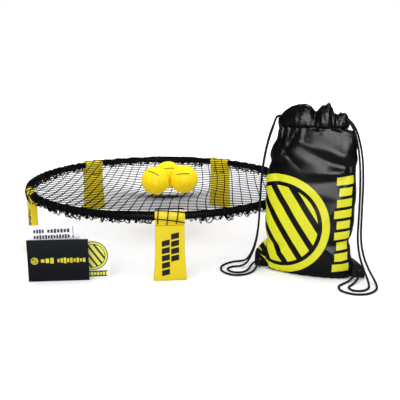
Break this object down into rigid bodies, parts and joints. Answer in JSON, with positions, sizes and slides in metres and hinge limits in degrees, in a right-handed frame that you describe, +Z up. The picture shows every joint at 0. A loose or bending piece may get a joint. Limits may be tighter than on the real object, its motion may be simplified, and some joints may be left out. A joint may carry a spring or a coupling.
{
  "type": "roundnet set",
  "caption": "Folding round net on flat legs with yellow balls, a stuffed black drawstring bag with loose drawcords, and standing printed papers.",
  "frame": {"origin": "Middle of the set's footprint on the floor it stands on, without the free drawcords.", "axes": "+Z is up and the shortest side. +X is the longest side, from the papers to the bag. The front leg of the net faces -Y."},
  "size_m": [1.0241, 1.0714, 0.486],
  "materials": {
    "leg_yellow": "moulded yellow plastic, satin",
    "black_plastic": "black moulded plastic tube, satin",
    "steel": "plain steel",
    "net_cord": "black knotted cord",
    "ball_yellow": "matt yellow rubber with a fine grain",
    "valve_rubber": "black rubber",
    "bag_nylon": "shiny black woven nylon with a yellow print",
    "bag_cord": "black braided cord",
    "black_card": "black card, satin",
    "white_paper": "white printed paper"
  },
  "bodies": {
    "ring": {"rim_tube_1": "black_plastic", "rim_tube_2": "black_plastic", "rim_tube_3": "black_plastic", "rim_tube_4": "black_plastic", "rim_tube_5": "black_plastic", "net": "net_cord", "leg_saddle_front": "leg_yellow", "leg_saddle_right": "leg_yellow", "leg_saddle_back_right": "leg_yellow", "leg_saddle_back_left": "leg_yellow", "leg_saddle_left": "leg_yellow", "hinge_pin_front": "steel", "hinge_pin_right": "steel", "hinge_pin_back_right": "steel", "hinge_pin_back_left": "steel", "hinge_pin_left": "steel"},
    "leg_front": {"leg_plate_front": "leg_yellow"},
    "leg_right": {"leg_plate_right": "leg_yellow"},
    "leg_back_right": {"leg_plate_back_right": "leg_yellow"},
    "leg_back_left": {"leg_plate_back_left": "leg_yellow"},
    "leg_left": {"leg_plate_left": "leg_yellow"},
    "ball_1": {"ball_1": "ball_yellow", "ball_valve_1": "valve_rubber"},
    "ball_2": {"ball_2": "ball_yellow", "ball_valve_2": "valve_rubber"},
    "ball_3": {"ball_3": "ball_yellow", "ball_valve_3": "valve_rubber"},
    "bag": {"bag_body": "bag_nylon", "bag_tab_left": "bag_nylon", "bag_tab_right": "bag_nylon", "bag_eyelet_left": "steel", "bag_eyelet_right": "steel", "drawcord_left_outer": "bag_cord", "drawcord_left_inner": "bag_cord", "drawcord_right_outer": "bag_cord", "drawcord_right_inner": "bag_cord", "cord_knot_left": "bag_cord", "cord_knot_right": "bag_cord"},
    "folded_card": {"folded_card": "black_card"},
    "leaflet": {"leaflet": "white_paper"},
    "sticker_card": {"sticker_card": "white_paper"}
  },
  "joints": [
    {"name": "leg_fold_front", "type": "hinge", "parent": "ring", "child": "leg_front", "pos_m": [-0.0489, -0.4226, 0.1515], "axis": [1, 0, 0], "range_deg": [0, 90]},
    {"name": "leg_fold_right", "type": "hinge", "parent": "ring", "child": "leg_right", "pos_m": [0.37384, -0.11546, 0.1515], "axis": [0.309, 0.9511, 0], "range_deg": [0, 90]},
    {"name": "leg_fold_back_right", "type": "hinge", "parent": "ring", "child": "leg_back_right", "pos_m": [0.21237, 0.38151, 0.1515], "axis": [-0.809, 0.5878, 0], "range_deg": [0, 90]},
    {"name": "leg_fold_back_left", "type": "hinge", "parent": "ring", "child": "leg_back_left", "pos_m": [-0.31017, 0.38151, 0.1515], "axis": [-0.809, -0.5878, 0], "range_deg": [0, 90]},
    {"name": "leg_fold_left", "type": "hinge", "parent": "ring", "child": "leg_left", "pos_m": [-0.47164, -0.11546, 0.1515], "axis": [0.309, -0.9511, 0], "range_deg": [0, 90]},
    {"name": "ball_lift_1", "type": "slide", "parent": "ring", "child": "ball_1", "axis": [0, 0, 1], "range_m": [0, 0.3]},
    {"name": "ball_lift_2", "type": "slide", "parent": "ring", "child": "ball_2", "axis": [0, 0, 1], "range_m": [0, 0.3]},
    {"name": "ball_lift_3", "type": "slide", "parent": "ring", "child": "ball_3", "axis": [0, 0, 1], "range_m": [0, 0.3]},
    {"name": "bag_slide", "type": "slide", "parent": "ring", "child": "bag", "axis": [0.6918, -0.7221, 0], "range_m": [0, 0.3]},
    {"name": "folded_card_lift", "type": "slide", "parent": "ring", "child": "folded_card", "axis": [0, 0, 1], "range_m": [0, 0.25]},
    {"name": "leaflet_lift", "type": "slide", "parent": "ring", "child": "leaflet", "axis": [0, 0, 1], "range_m": [0, 0.25]},
    {"name": "sticker_card_slide", "type": "slide", "parent": "ring", "child": "sticker_card", "axis": [1, 0, 0], "range_m": [0, 0.115]}
  ]
}
